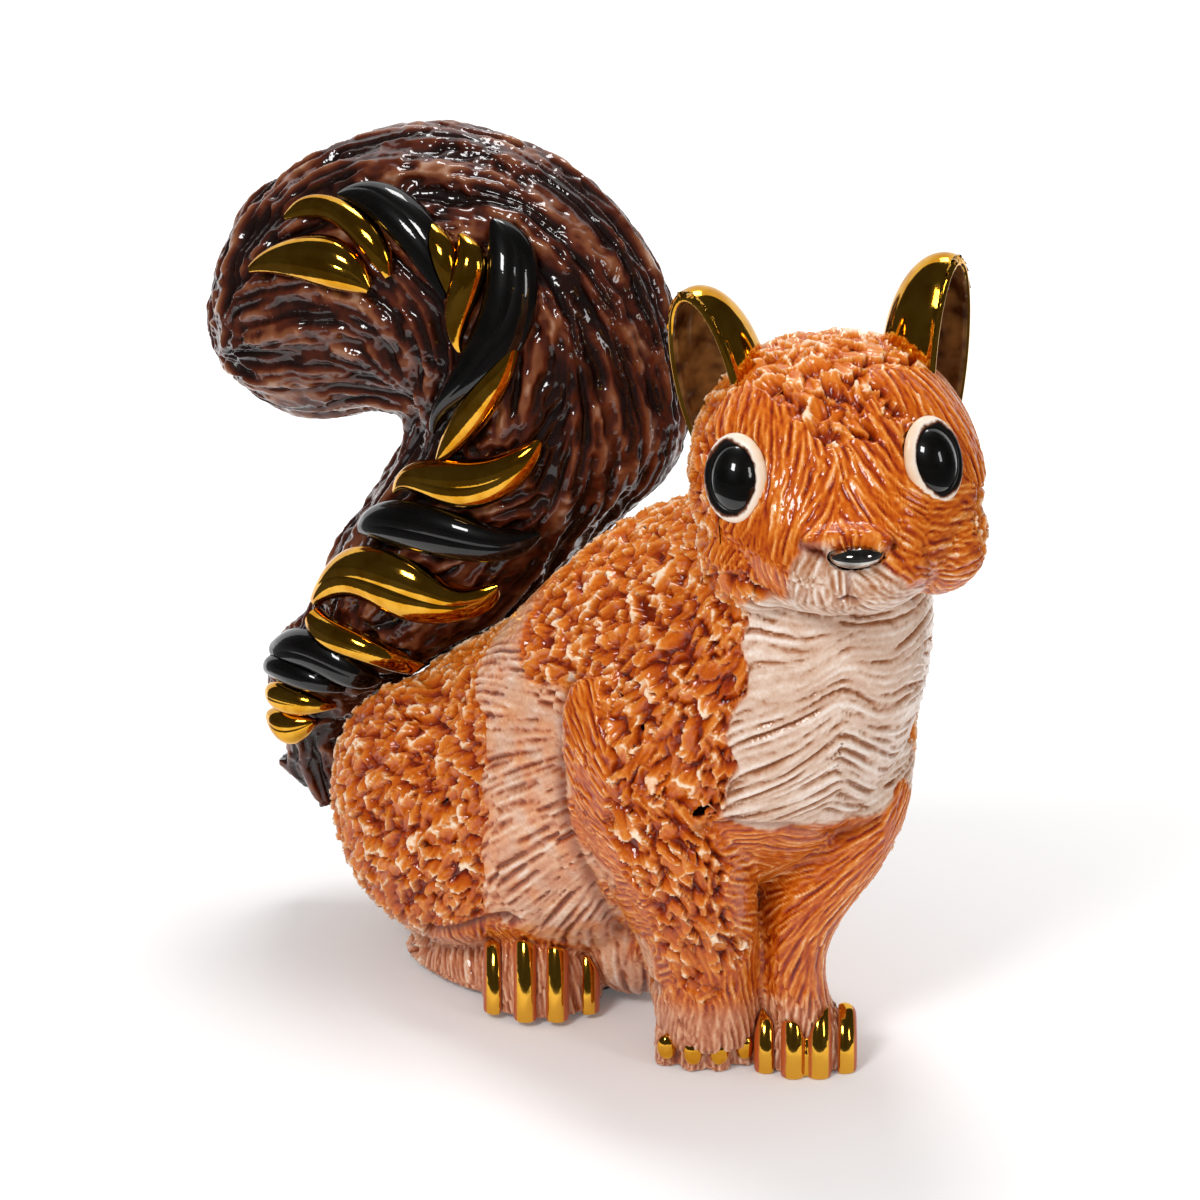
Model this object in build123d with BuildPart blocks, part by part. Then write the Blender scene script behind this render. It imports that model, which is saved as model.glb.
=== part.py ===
from build123d import *

import os
from math import cos, radians, sin

# Squirrel figurine in glazed earthenware with gold, black and platinum details.
# The torso, head and tail are hollow slip castings. The haunches, legs and feet are pressed
# forms, and the ears, eyes, eyelids, nose, claws and tail locks are shaped by hand. All are
# luted together with slip and fired, so nothing moves. A felt sheet is glued under the seat.
# The frame is +Z up. The body looks along -Y, its right side is -X, and the origin lies on
# the felt's underside, on the middle line of the body.

# Slip castings, in millimetres.
torso_length = 92.0
torso_width = 52.0
torso_height = 86.0
head_width = 37.5
head_height = 35.0
head_length = 43.0
tail_reach = 54.0
tail_height = 118.0
tail_width = 33.0
cheek_width = 15.0
cheek_length = 20.0
cheek_height = 16.0
belly_width = 18.0
belly_length = 18.0
belly_height = 23.0
belly_ahead = 7.0
belly_rise = 12.5
casting_wall = 4.0
vent_diameter = 9.0

# Where the castings meet, from the origin.
head_ahead = 45.4
head_aside = 1.2
head_rise = 85.0
head_turn = -34.0
head_tilt = 5.0
tail_root_behind = 49.0
tail_root_aside = 11.0
tail_turn = -60.0

# Pressed forms.
haunch_length = 42.0
haunch_height = 38.0
haunch_width = 24.0
foreleg_height = 60.0
foreleg_girth = 26.0
forepaw_length = 12.0
forepaw_width = 14.0
forepaw_height = 17.0
forepaw_rise = 1.5
hind_foot_length = 18.0
hind_foot_width = 17.0
hind_foot_height = 29.0
heel_length = 28.0
heel_width = 13.0
heel_height = 16.0

# Details shaped by hand.
ear_height = 27.0
ear_width = 13.0
ear_depth = 15.0
ear_wall = 1.4
eye_width = 7.0
eye_height = 9.4
eye_depth = 7.0
eyelid_thickness = 1.6
nose_width = 7.0
nose_height = 3.4
nose_depth = 6.0
toe_girth = 3.4
nail_height = 4.0
nail_width = 2.8
nail_depth = 2.0
nail_rise = 1.6
lock_width = 7.2
lock_height = 2.0
lock_lift = 0.6
felt_thickness = 0.8
felt_length = 30.0
felt_width = 31.0
felt_corner = 8.0
felt_behind = 13.0

# The slip between two luted pieces.
slip_gap = 0.15

# A section is four arcs through the ends of its half sizes, and this full between them.
fullness_share = 0.72

# Torso sections from rump to neck: behind, up, half across, half deep, lean, turn in degrees.
TORSO_SHARES = [
    (0.518, 0.170, 0.05, 0.022, 10.0, 0.0),
    (0.500, 0.178, 0.17, 0.080, 12.0, 0.0),
    (0.446, 0.195, 0.30, 0.140, 15.0, 0.0),
    (0.315, 0.240, 0.45, 0.220, 15.0, 0.0),
    (0.098, 0.320, 0.50, 0.285, 17.0, 0.0),
    (-0.087, 0.450, 0.47, 0.300, 22.0, -2.0),
    (-0.240, 0.570, 0.45, 0.305, 34.0, -6.0),
    (-0.350, 0.685, 0.42, 0.285, 50.0, -12.0),
    (-0.415, 0.800, 0.37, 0.232, 64.0, -18.0),
    (-0.455, 0.912, 0.29, 0.160, 76.0, -24.0),
    (-0.475, 0.990, 0.08, 0.045, 80.0, -26.0),
]

# Head sections from the back of the skull to the muzzle: ahead, up, half across, half high.
# Cheeks: aside, ahead and up.
HEAD_SHARES = [
    (-0.450, 0.05, 0.07, 0.07),
    (-0.420, 0.05, 0.20, 0.20),
    (-0.330, 0.05, 0.34, 0.34),
    (-0.150, 0.04, 0.46, 0.46),
    (0.050, 0.03, 0.50, 0.48),
    (0.220, 0.00, 0.49, 0.43),
    (0.360, -0.06, 0.39, 0.33),
    (0.470, -0.13, 0.28, 0.22),
    (0.540, -0.16, 0.19, 0.14),
    (0.560, -0.17, 0.07, 0.05),
]
CHEEK_SHARES = {"right": (-0.300, 0.170, -0.19), "left": (0.300, 0.170, -0.19)}

# Tail sections from root to tip: inner edge out and up, outer edge out and up, half across. The
# main strands of its fur are rounds between creases, both as shares of a section.
strand_count = 16
strand_crest_share = 1.012
strand_crease_share = 0.965
TAIL_SHARES = [
    (-0.056, 0.121, 0.020, 0.132, 0.09),
    (-0.150, 0.194, 0.060, 0.213, 0.20),
    (-0.187, 0.265, 0.169, 0.286, 0.30),
    (-0.183, 0.331, 0.302, 0.326, 0.37),
    (-0.072, 0.389, 0.476, 0.369, 0.42),
    (0.000, 0.464, 0.648, 0.454, 0.45),
    (0.111, 0.539, 0.831, 0.539, 0.48),
    (0.194, 0.600, 0.983, 0.620, 0.50),
    (0.219, 0.632, 0.990, 0.740, 0.50),
    (0.207, 0.639, 0.900, 0.860, 0.50),
    (0.180, 0.640, 0.640, 0.965, 0.50),
    (0.120, 0.637, 0.250, 0.998, 0.50),
    (0.006, 0.625, -0.080, 0.942, 0.48),
    (-0.106, 0.627, -0.228, 0.885, 0.42),
    (-0.207, 0.647, -0.302, 0.814, 0.30),
    (-0.294, 0.677, -0.352, 0.750, 0.14),
    (-0.335, 0.700, -0.350, 0.722, 0.04),
]

# Foreleg sections from shoulder to wrist: aside, ahead and up as shares of the height, and
# half across and half fore and aft as shares of the girth.
FORELEG_SHARES = {
    "right": [
        (-0.210, 0.420, 1.020, 0.20, 0.25),
        (-0.220, 0.430, 0.930, 0.38, 0.48),
        (-0.228, 0.460, 0.740, 0.42, 0.53),
        (-0.210, 0.487, 0.600, 0.40, 0.50),
        (-0.185, 0.500, 0.480, 0.36, 0.45),
        (-0.150, 0.500, 0.365, 0.31, 0.38),
        (-0.112, 0.487, 0.260, 0.28, 0.33),
        (-0.088, 0.480, 0.140, 0.27, 0.29),
        (-0.080, 0.475, 0.050, 0.24, 0.26),
    ],
    "left": [
        (0.195, 0.550, 1.000, 0.22, 0.27),
        (0.195, 0.570, 0.900, 0.36, 0.45),
        (0.180, 0.600, 0.700, 0.36, 0.46),
        (0.155, 0.615, 0.550, 0.32, 0.41),
        (0.113, 0.617, 0.445, 0.27, 0.33),
        (0.067, 0.617, 0.350, 0.20, 0.24),
        (0.050, 0.617, 0.270, 0.17, 0.185),
        (0.057, 0.617, 0.180, 0.17, 0.18),
        (0.075, 0.620, 0.060, 0.17, 0.18),
    ],
}

# Forepaws: aside and ahead as shares of the foreleg's height, and the way that the toes point.
FOREPAW_SHARES = {"right": (-0.065, 0.450), "left": (0.085, 0.620)}
forepaw_turn = -38.0

# Hind feet: toes and heel aside and behind as shares of the haunch's length.
toes_aside_share = 0.255
toes_behind_share = 0.012
toes_turn = 38.0
heel_aside_share = 0.290
heel_behind_share = 0.345

# Where toes stand across a foot, as shares of its width, and where their rolls start and how
# far they reach round the foot, in degrees.
TOE_SHARES = [-0.375, -0.125, 0.125, 0.375]
toe_start = -20.0
toe_reach = 95.0

# Locks on the tail: tail section, angle round it and width share, from end to end. They are
# placed on the right side, and those that the left side repeats are mirrored.
GOLD_LOCKS = [
    [(11.8, 141, 0.15), (11.15, 149, 0.55), (10.8, 159, 0.55), (10.55, 169, 0.15)],
    [(12.3, 158, 0.15), (11.65, 160, 0.80), (11.1, 168, 0.95), (10.7, 175, 0.20)],
    [(10.5, 145, 0.12), (10.15, 157, 0.55), (9.85, 168, 0.12)],
    [(10.15, 147, 0.12), (9.95, 153, 0.60), (9.75, 165, 0.65), (9.3, 180, 0.12)],
    [(9.1, 160, 0.12), (8.75, 172, 0.55), (8.15, 190, 0.65), (7.4, 203, 0.15)],
    [(6.6, 220, 0.15), (6.95, 203, 0.85), (7.0, 185, 0.95), (7.3, 170, 0.65), (7.6, 162, 0.12)],
    [
        (4.45, 226, 0.30),
        (4.95, 217, 0.80),
        (5.15, 199, 1.20),
        (5.05, 177, 1.25),
        (4.95, 157, 0.90),
        (5.2, 141, 0.15),
    ],
    [(4.2, 220, 0.45), (4.1, 205, 0.65), (4.05, 185, 0.60), (3.8, 155, 0.45), (3.5, 130, 0.12)],
    [(2.4, 222, 0.25), (2.35, 200, 0.65), (2.3, 180, 0.50), (2.2, 157, 0.12)],
    [(1.85, 222, 0.30), (1.7, 200, 0.75), (1.8, 170, 0.15)],
]
BLACK_LOCKS = [
    [(11.3, 138, 0.12), (10.85, 143, 0.80), (10.4, 153, 0.85), (9.9, 170, 0.12)],
    [(10.0, 138, 0.15), (9.6, 145, 1.0), (9.3, 158, 1.05), (8.95, 180, 0.85), (8.05, 208, 0.15)],
    [(5.8, 225, 0.30), (6.05, 205, 0.95), (6.05, 185, 1.0), (5.95, 160, 0.75), (6.1, 145, 0.12)],
    [(3.3, 228, 0.45), (3.45, 218, 0.80), (3.6, 202, 0.85), (3.45, 178, 0.75), (3.1, 145, 0.12)],
    [(2.95, 222, 0.40), (3.05, 205, 0.60), (3.0, 186, 0.55), (2.75, 160, 0.12)],
]
MIRRORED_GOLD_LOCKS = [1, 3, 4, 5, 6]
MIRRORED_BLACK_LOCKS = [0, 1, 2, 3]

# The way of each side along X.
SIDES = {"right": -1, "left": 1}

os.makedirs("parts", exist_ok=True)


def keep(piece, label):
    """Names a finished piece and writes it to its own file."""
    piece.part.label = label
    export_step(piece.part, f"parts/{label}.step")


def keep_largest(piece, label):
    """Keeps a piece without the crumbs that cuts left beside it."""
    with BuildPart() as clean:
        add(piece.part.solids().sort_by(SortBy.VOLUME)[-1])
    keep(clean, label)


def ball(width, length, height, seam_turn=0.0):
    """A ball stretched to a width, length and height, with its seam turned about Z."""
    with BuildPart(mode=Mode.PRIVATE) as form:
        Sphere(1, rotation=(0, 0, seam_turn))
        scale(by=(width / 2, length / 2, height / 2))
    return form.part


def oval_loft(sections):
    """A loft through ovals, each given as its plane and two half sizes."""
    with BuildPart(mode=Mode.PRIVATE) as form:
        ovals = []
        for plane, half_x, half_y in sections:
            corners = [(half_x, 0), (0, half_y), (-half_x, 0), (0, -half_y)]
            with BuildSketch(plane) as oval:
                with BuildLine():
                    for corner, following in zip(corners, corners[1:] + corners[:1]):
                        middle = (
                            (corner[0] + following[0]) * fullness_share,
                            (corner[1] + following[1]) * fullness_share,
                        )
                        ThreePointArc(corner, middle, following)
                make_face()
            ovals.append(oval.sketch)
        loft(sections=ovals)
    return form.part


def strand_loft(sections):
    """A loft as oval_loft makes it, with strands that run along it."""
    with BuildPart(mode=Mode.PRIVATE) as form:
        rounds = []
        for plane, half_x, half_y in sections:
            points = []
            for step in range(2 * strand_count):
                share = strand_crest_share if step % 2 else strand_crease_share
                angle = radians(180 * step / strand_count)
                points.append((half_x * share * cos(angle), half_y * share * sin(angle)))
            with BuildSketch(plane) as outline:
                with BuildLine():
                    for start in range(0, len(points), 2):
                        crest, end = points[start + 1], points[(start + 2) % len(points)]
                        ThreePointArc(points[start], crest, end)
                make_face()
            rounds.append(outline.sketch)
        loft(sections=rounds)
    return form.part


def torso_form(wall):
    """The torso and its belly, drawn in by a wall: no wall gives its outside."""
    sections = []
    for behind, up, across, deep, lean, turn in TORSO_SHARES:
        plane = Plane(
            origin=(0, behind * torso_length, up * torso_height),
            x_dir=Vector(1, 0, 0).rotate(Axis.Z, turn),
            z_dir=Vector(0, -cos(radians(lean)), sin(radians(lean))).rotate(Axis.Z, turn),
        )
        if min(across * torso_width, deep * torso_height) > wall:
            sections.append((plane, across * torso_width - wall, deep * torso_height - wall))
    with BuildPart(mode=Mode.PRIVATE) as form:
        add(oval_loft(sections))
        belly = ball(belly_width - 2 * wall, belly_length - 2 * wall, belly_height - 2 * wall)
        add(belly.moved(Pos(0, -belly_ahead, belly_rise)))
    return form.part


head_place = (
    Pos(head_aside, -head_ahead, head_rise) * Rot(0, 0, head_turn) * Rot(0, -head_tilt, 0)
)


def head_form(wall):
    """The head in its place, drawn in by a wall."""
    sections = []
    for ahead, up, across, high in HEAD_SHARES:
        plane = Plane(
            origin=(0, -ahead * head_length, up * head_height), x_dir=(1, 0, 0), z_dir=(0, -1, 0)
        )
        if min(across * head_width, high * head_height) > wall:
            sections.append((plane, across * head_width - wall, high * head_height - wall))
    with BuildPart(mode=Mode.PRIVATE) as form:
        add(oval_loft(sections))
        for aside, ahead, up in CHEEK_SHARES.values():
            cheek = ball(cheek_width - 2 * wall, cheek_length - 2 * wall, cheek_height - 2 * wall)
            add(cheek.moved(Pos(aside * head_width, -ahead * head_length, up * head_height)))
    return form.part.moved(head_place)


tail_outward = Vector(1, 0, 0).rotate(Axis.Z, tail_turn)
tail_across = Vector(0, 1, 0).rotate(Axis.Z, tail_turn)
tail_root = Vector(-tail_root_aside, tail_root_behind, 0)


def tail_point(out_share, up_share):
    """A point of the tail's middle plane, from its shares of the reach and the height."""
    return tail_root + tail_outward * (out_share * tail_reach) + Vector(0, 0, up_share * tail_height)


def tail_edges(inner_out, inner_up, outer_out, outer_up):
    """The middle of a tail section and half of its spread from inner to outer edge."""
    inner = tail_point(inner_out, inner_up)
    outer = tail_point(outer_out, outer_up)
    return (inner + outer) / 2, (outer - inner) / 2


def tail_sections(wall):
    """The tail's sections, drawn in by a wall."""
    sections = []
    for *edges, across in TAIL_SHARES:
        middle, spread = tail_edges(*edges)
        plane = Plane(origin=middle, x_dir=tail_across, z_dir=tail_across.cross(spread))
        if min(across * tail_width, spread.length) > wall:
            sections.append((plane, across * tail_width - wall, spread.length - wall))
    return sections


def tail_skin(section, angle):
    """A point on the tail's skin and the way out of it, at a place between sections."""
    before = TAIL_SHARES[int(section)]
    after = TAIL_SHARES[int(section) + 1]
    part_way = section - int(section)
    *edges, across = [
        first + (second - first) * part_way for first, second in zip(before, after)
    ]
    middle, spread = tail_edges(*edges)
    out = tail_across * (across * tail_width * cos(radians(angle))) + spread * sin(radians(angle))
    return middle + out, out.normalized()


below_floor = Box(
    torso_width * 2, torso_length * 2, torso_height, align=(Align.CENTER, Align.CENTER, Align.MAX)
)
below_felt = below_floor.moved(Pos(0, 0, felt_thickness))
torso_seat = torso_form(-slip_gap)
head_seat = head_form(-slip_gap)

# Felt sheet under the seat.
with BuildPart() as base_felt:
    with BuildSketch(Plane((0, felt_behind, 0))):
        RectangleRounded(felt_width, felt_length, felt_corner)
    extrude(amount=felt_thickness)
keep(base_felt, "base_felt")

# Eyes, set in sockets on both sides of the face: aside, ahead and up as shares of the head.
EYE_SHARES = {"right": (-0.345, 0.315, 0.14), "left": (0.285, 0.345, 0.14)}
eye_turn = 27.0
eye_lift = -14.0


def eye_place(side):
    aside, ahead, up = EYE_SHARES[side]
    middle = Pos(aside * head_width, -ahead * head_length, up * head_height)
    return head_place * middle * Rot(0, 0, SIDES[side] * eye_turn) * Rot(eye_lift, 0, 0)


def eye_form(side, gap):
    """An eye, drawn out by a gap."""
    form = ball(eye_width + 2 * gap, eye_depth + 2 * gap, eye_height + 2 * gap)
    return form.moved(eye_place(side))


for side in EYE_SHARES:
    with BuildPart() as eye:
        add(eye_form(side, 0))
    keep(eye, f"eye_{side}")

# Nose, a lens pressed into the tip of the muzzle.
nose_ahead_share = 0.545
nose_rise_share = -0.095


def nose_form(gap):
    """The nose, drawn out by a gap."""
    form = ball(nose_width + 2 * gap, nose_depth + 2 * gap, nose_height + 2 * gap)
    middle = Pos(0, -nose_ahead_share * head_length, nose_rise_share * head_height)
    return form.moved(head_place * middle)


with BuildPart() as nose:
    add(nose_form(0))
keep(nose, "nose")

# Head, a hollow casting with sockets for the eyes and the nose.
with BuildPart() as head:
    add(head_form(0))
    add(head_form(casting_wall), mode=Mode.SUBTRACT)
    add([eye_form(side, slip_gap) for side in EYE_SHARES], mode=Mode.SUBTRACT)
    add(nose_form(slip_gap), mode=Mode.SUBTRACT)
keep(head, "head")

# Eyelids, rings round the eyes that stand on the head.
eyelid_depth_share = 0.72
for side in EYE_SHARES:
    with BuildPart() as eyelid:
        lid = ball(
            eye_width + 2 * eyelid_thickness,
            eye_depth * eyelid_depth_share,
            eye_height + 2 * eyelid_thickness,
        )
        add(lid.moved(eye_place(side)))
        add([head_seat, eye_form(side, slip_gap)], mode=Mode.SUBTRACT)
    keep(eyelid, f"eyelid_{side}")

# Ears, thin cups that stand on the crown and open outwards. The seams of their balls lie on
# the open side, which is cut away.
EAR_SHARES = {"right": (-0.365, -0.06, 0.350), "left": (0.400, -0.06, 0.380)}
EAR_CUP_TURNS = {"right": 54.0, "left": 60.0}
ear_lean = 8.0
ear_open_share = 0.12
ear_seam_turn = -90.0


def ear_ball(wall):
    """The ball that an ear is cut from, drawn in by a wall."""
    return ball(
        ear_width - 2 * wall, ear_depth - 2 * wall, ear_height - 2 * wall, seam_turn=ear_seam_turn
    )


for side, (aside, ahead, up) in EAR_SHARES.items():
    middle = Pos(aside * head_width, -ahead * head_length, up * head_height)
    turned = Rot(0, SIDES[side] * ear_lean, SIDES[side] * EAR_CUP_TURNS[side])
    ear_place = head_place * middle * turned
    ahead_of_rim = Box(
        ear_width * 2, ear_depth, ear_height * 2, align=(Align.CENTER, Align.MAX, Align.CENTER)
    ).moved(ear_place * Pos(0, -ear_open_share * ear_depth, 0))
    hollow = ear_ball(ear_wall).moved(ear_place)
    with BuildPart() as ear:
        add(ear_ball(0).moved(ear_place))
        add([hollow, ahead_of_rim, head_seat], mode=Mode.SUBTRACT)
    keep(ear, f"ear_{side}")

# Torso, a hollow casting with a seat for the head and a vent that the felt covers.
with BuildPart() as torso:
    add(torso_form(0))
    add(torso_form(casting_wall), mode=Mode.SUBTRACT)
    add([head_seat, below_felt], mode=Mode.SUBTRACT)
    with BuildSketch(Plane((0, felt_behind, 0))):
        Circle(vent_diameter / 2)
    extrude(amount=torso_height / 4, mode=Mode.SUBTRACT)
keep(torso, "torso")

# Haunches, pressed on both sides of the torso.
haunch_aside_share = 0.325
haunch_behind_share = 0.38
haunch_rise_share = 0.66


def haunch_form(side, gap):
    """A haunch, drawn out by a gap."""
    form = ball(haunch_width + 2 * gap, haunch_length + 2 * gap, haunch_height + 2 * gap)
    middle = Pos(
        SIDES[side] * haunch_aside_share * torso_width,
        haunch_behind_share * haunch_length,
        haunch_rise_share * haunch_height,
    )
    return form.moved(middle)


haunch_seats = {side: haunch_form(side, slip_gap) for side in SIDES}
for side in SIDES:
    with BuildPart() as haunch:
        add(haunch_form(side, 0))
        add([torso_seat, below_felt], mode=Mode.SUBTRACT)
    keep(haunch, f"haunch_{side}")


# Forelegs, from the shoulders down to the paws.
def foreleg_form(side, gap):
    """A foreleg, drawn out by a gap."""
    sections = []
    for aside, ahead, up, across, along in FORELEG_SHARES[side]:
        plane = Plane((aside * foreleg_height, -ahead * foreleg_height, up * foreleg_height))
        sections.append((plane, across * foreleg_girth + gap, along * foreleg_girth + gap))
    return oval_loft(sections)


foreleg_seats = {side: foreleg_form(side, slip_gap) for side in SIDES}
for side in SIDES:
    with BuildPart() as foreleg:
        add(foreleg_form(side, 0))
        add([torso_seat, head_seat], mode=Mode.SUBTRACT)
        if side == "right":
            add(foreleg_seats["left"], mode=Mode.SUBTRACT)
    keep(foreleg, f"foreleg_{side}")


def toe_inset(share):
    """How far a foot's round front comes forward at a toe, as a share of its half length."""
    return (1 - (2 * share) ** 2) ** 0.5


def toe_rolls(width, length, height, place, gap=0.0):
    """Rolls over the front of a foot, one for each toe, with round upper ends."""
    rolls = []
    for share in TOE_SHARES:
        foot = Plane(place * Pos(share * width, 0, 0))
        side_view = Plane(origin=foot.origin, x_dir=-foot.y_dir, z_dir=-foot.x_dir)
        inset = toe_inset(share)
        with BuildPart(mode=Mode.PRIVATE) as roll:
            with BuildLine(side_view) as over:
                EllipticalCenterArc(
                    (0, 0), length / 2 * inset, height / 2 * inset, toe_start, arc_size=toe_reach
                )
            with BuildSketch(Plane(over.line @ 0, z_dir=over.line % 0)):
                Circle(toe_girth / 2 + gap)
            sweep()
            with Locations(over.line @ 1):
                Sphere(toe_girth / 2 + gap)
        rolls.append(roll.part)
    return rolls


# Forepaws. The left one has a gold claw over each toe, the right one a small gold nail.
def forepaw_place(side):
    aside, ahead = FOREPAW_SHARES[side]
    middle = Pos(aside * foreleg_height, -ahead * foreleg_height, forepaw_rise)
    return middle * Rot(0, 0, forepaw_turn)


def forepaw_form(side, gap):
    """A forepaw, drawn out by a gap."""
    form = ball(forepaw_width + 2 * gap, forepaw_length + 2 * gap, forepaw_height + 2 * gap)
    return form.moved(forepaw_place(side))


def forepaw_toes(side, gap):
    """The toe rolls of a forepaw, drawn out by a gap."""
    return toe_rolls(forepaw_width, forepaw_length, forepaw_height, forepaw_place(side), gap)


with BuildPart() as forepaw_left:
    add(forepaw_form("left", 0))
    add([foreleg_seats["left"], below_floor], mode=Mode.SUBTRACT)
keep(forepaw_left, "forepaw_left")

with BuildPart() as forepaw_left_claws:
    add(forepaw_toes("left", 0))
    add([forepaw_form("left", slip_gap), below_floor], mode=Mode.SUBTRACT)
    add([*foreleg_seats.values()], mode=Mode.SUBTRACT)
keep(forepaw_left_claws, "forepaw_left_claws")

with BuildPart() as forepaw_right:
    add([forepaw_form("right", 0), *forepaw_toes("right", 0)])
    add([forepaw_form("left", slip_gap), *forepaw_toes("left", slip_gap)], mode=Mode.SUBTRACT)
    add([foreleg_seats["right"], below_floor], mode=Mode.SUBTRACT)
keep_largest(forepaw_right, "forepaw_right")

with BuildPart() as forepaw_right_claws:
    for share in TOE_SHARES:
        ahead = forepaw_length / 2 * toe_inset(share) + toe_girth / 2
        nail = ball(nail_width, nail_depth, nail_height)
        add(nail.moved(forepaw_place("right") * Pos(share * forepaw_width, -ahead, nail_rise)))
    add([forepaw_form("right", slip_gap), *forepaw_toes("right", slip_gap)], mode=Mode.SUBTRACT)
    add([forepaw_form("left", slip_gap), *forepaw_toes("left", slip_gap)], mode=Mode.SUBTRACT)
keep(forepaw_right_claws, "forepaw_right_claws")


# Hind feet, each with toes in front of a heel, on the felt.
def toes_place(side):
    aside = SIDES[side] * toes_aside_share * haunch_length
    behind = toes_behind_share * haunch_length
    return Pos(aside, behind, felt_thickness) * Rot(0, 0, SIDES[side] * toes_turn)


def hind_foot_forms(side, gap):
    """The toes and the heel of a hind foot, drawn out by a gap."""
    toes = ball(hind_foot_width + 2 * gap, hind_foot_length + 2 * gap, hind_foot_height + 2 * gap)
    heel = ball(heel_width + 2 * gap, heel_length + 2 * gap, heel_height + 2 * gap)
    heel_aside = SIDES[side] * heel_aside_share * haunch_length
    heel_place = Pos(heel_aside, heel_behind_share * haunch_length, felt_thickness)
    return [toes.moved(toes_place(side)), heel.moved(heel_place)]


for side in SIDES:
    carriers = [torso_seat, haunch_seats[side], below_felt]
    with BuildPart() as hind_foot:
        add(hind_foot_forms(side, 0))
        add(carriers, mode=Mode.SUBTRACT)
    keep(hind_foot, f"hind_foot_{side}")
    with BuildPart() as claws:
        add(toe_rolls(hind_foot_width, hind_foot_length, hind_foot_height, toes_place(side)))
        add(hind_foot_forms(side, slip_gap), mode=Mode.SUBTRACT)
        add(carriers, mode=Mode.SUBTRACT)
    keep(claws, f"hind_foot_{side}_claws")

# Tail, a hollow casting that rises from the rump and curls back.
with BuildPart() as tail:
    add(strand_loft(tail_sections(0)))
    add(oval_loft(tail_sections(casting_wall)), mode=Mode.SUBTRACT)
    add([torso_seat, *haunch_seats.values()], mode=Mode.SUBTRACT)
keep(tail, "tail")

# Locks of clay on the tail, gold and black.
tail_seat = strand_loft(tail_sections(-slip_gap))


def lock_form(path, gap):
    """A lock laid along a path on the tail's skin, drawn out by a gap."""
    skin = [tail_skin(section, angle) for section, angle, width in path]
    sections = []
    for index, (place, out) in enumerate(skin):
        along = skin[min(index + 1, len(skin) - 1)][0] - skin[max(index - 1, 0)][0]
        plane = Plane(origin=place + out * lock_lift, x_dir=along.cross(out), z_dir=along)
        half_width = path[index][2] * lock_width / 2
        sections.append((plane, half_width + gap, min(lock_height, half_width) + gap))
    return oval_loft(sections)


def meets(form, other):
    """Whether the boxes of two forms overlap."""
    one, two = form.bounding_box(), other.bounding_box()
    return all(
        low < high
        for low, high in zip((*one.min, *two.min), (*two.max, *one.max))
    )


def mirrored(path):
    """A lock's path on the other side of the tail."""
    return [(section, 180 - angle, width) for section, angle, width in path]


right_locks = {f"gold_lock_right_{n + 1}": path for n, path in enumerate(GOLD_LOCKS)}
right_locks |= {f"black_lock_right_{n + 1}": path for n, path in enumerate(BLACK_LOCKS)}
left_locks = {f"gold_lock_left_{n + 1}": mirrored(GOLD_LOCKS[n]) for n in MIRRORED_GOLD_LOCKS}
left_locks |= {f"black_lock_left_{n + 1}": mirrored(BLACK_LOCKS[n]) for n in MIRRORED_BLACK_LOCKS}
for side_locks in (right_locks, left_locks):
    laid = []
    for label, path in side_locks.items():
        form = lock_form(path, 0)
        carriers = [tail_seat, torso_seat, *haunch_seats.values(), *laid]
        with BuildPart() as lock:
            add(form)
            add([carrier for carrier in carriers if meets(form, carrier)], mode=Mode.SUBTRACT)
        keep_largest(lock, label)
        laid.append(lock_form(path, slip_gap))
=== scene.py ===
from math import cos, pi, radians, sin

import bmesh
import bpy
import numpy as np
from mathutils import Matrix, Vector
from mathutils.bvhtree import BVHTree
from mathutils.kdtree import KDTree


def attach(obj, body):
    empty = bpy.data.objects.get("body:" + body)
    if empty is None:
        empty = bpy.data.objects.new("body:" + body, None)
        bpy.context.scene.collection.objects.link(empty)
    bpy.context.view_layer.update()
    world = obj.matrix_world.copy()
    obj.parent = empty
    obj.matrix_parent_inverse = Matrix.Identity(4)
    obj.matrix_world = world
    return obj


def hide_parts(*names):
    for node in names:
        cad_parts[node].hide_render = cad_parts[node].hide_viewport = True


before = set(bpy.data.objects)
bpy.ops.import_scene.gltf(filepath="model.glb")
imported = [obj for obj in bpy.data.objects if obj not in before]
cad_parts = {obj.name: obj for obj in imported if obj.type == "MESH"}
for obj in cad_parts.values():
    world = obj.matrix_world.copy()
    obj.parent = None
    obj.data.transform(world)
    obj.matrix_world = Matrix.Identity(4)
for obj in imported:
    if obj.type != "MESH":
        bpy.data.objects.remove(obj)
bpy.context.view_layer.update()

mm = 0.001

# Camera, at the photograph's place: right of the front and a little above the figure.
# Its numbers are degrees, mm, and the 1200 pixels of the picture's side.
camera_turn, camera_lift, camera_away, aim_height = -38, 18, 600, 56.7
picture_side, focal_length, picture_middle = 1200, 4380, (605, 600)
camera_back = Vector((
    sin(radians(camera_turn)) * cos(radians(camera_lift)),
    -cos(radians(camera_turn)) * cos(radians(camera_lift)),
    sin(radians(camera_lift)),
))
camera_place = Vector((0, 0, aim_height * mm)) + camera_back * camera_away * mm


def placed(name, data):
    """A new object in the scene, that holds a mesh, a lamp or a camera."""
    holder = bpy.data.objects.new(name, data)
    bpy.context.scene.collection.objects.link(holder)
    return holder


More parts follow.
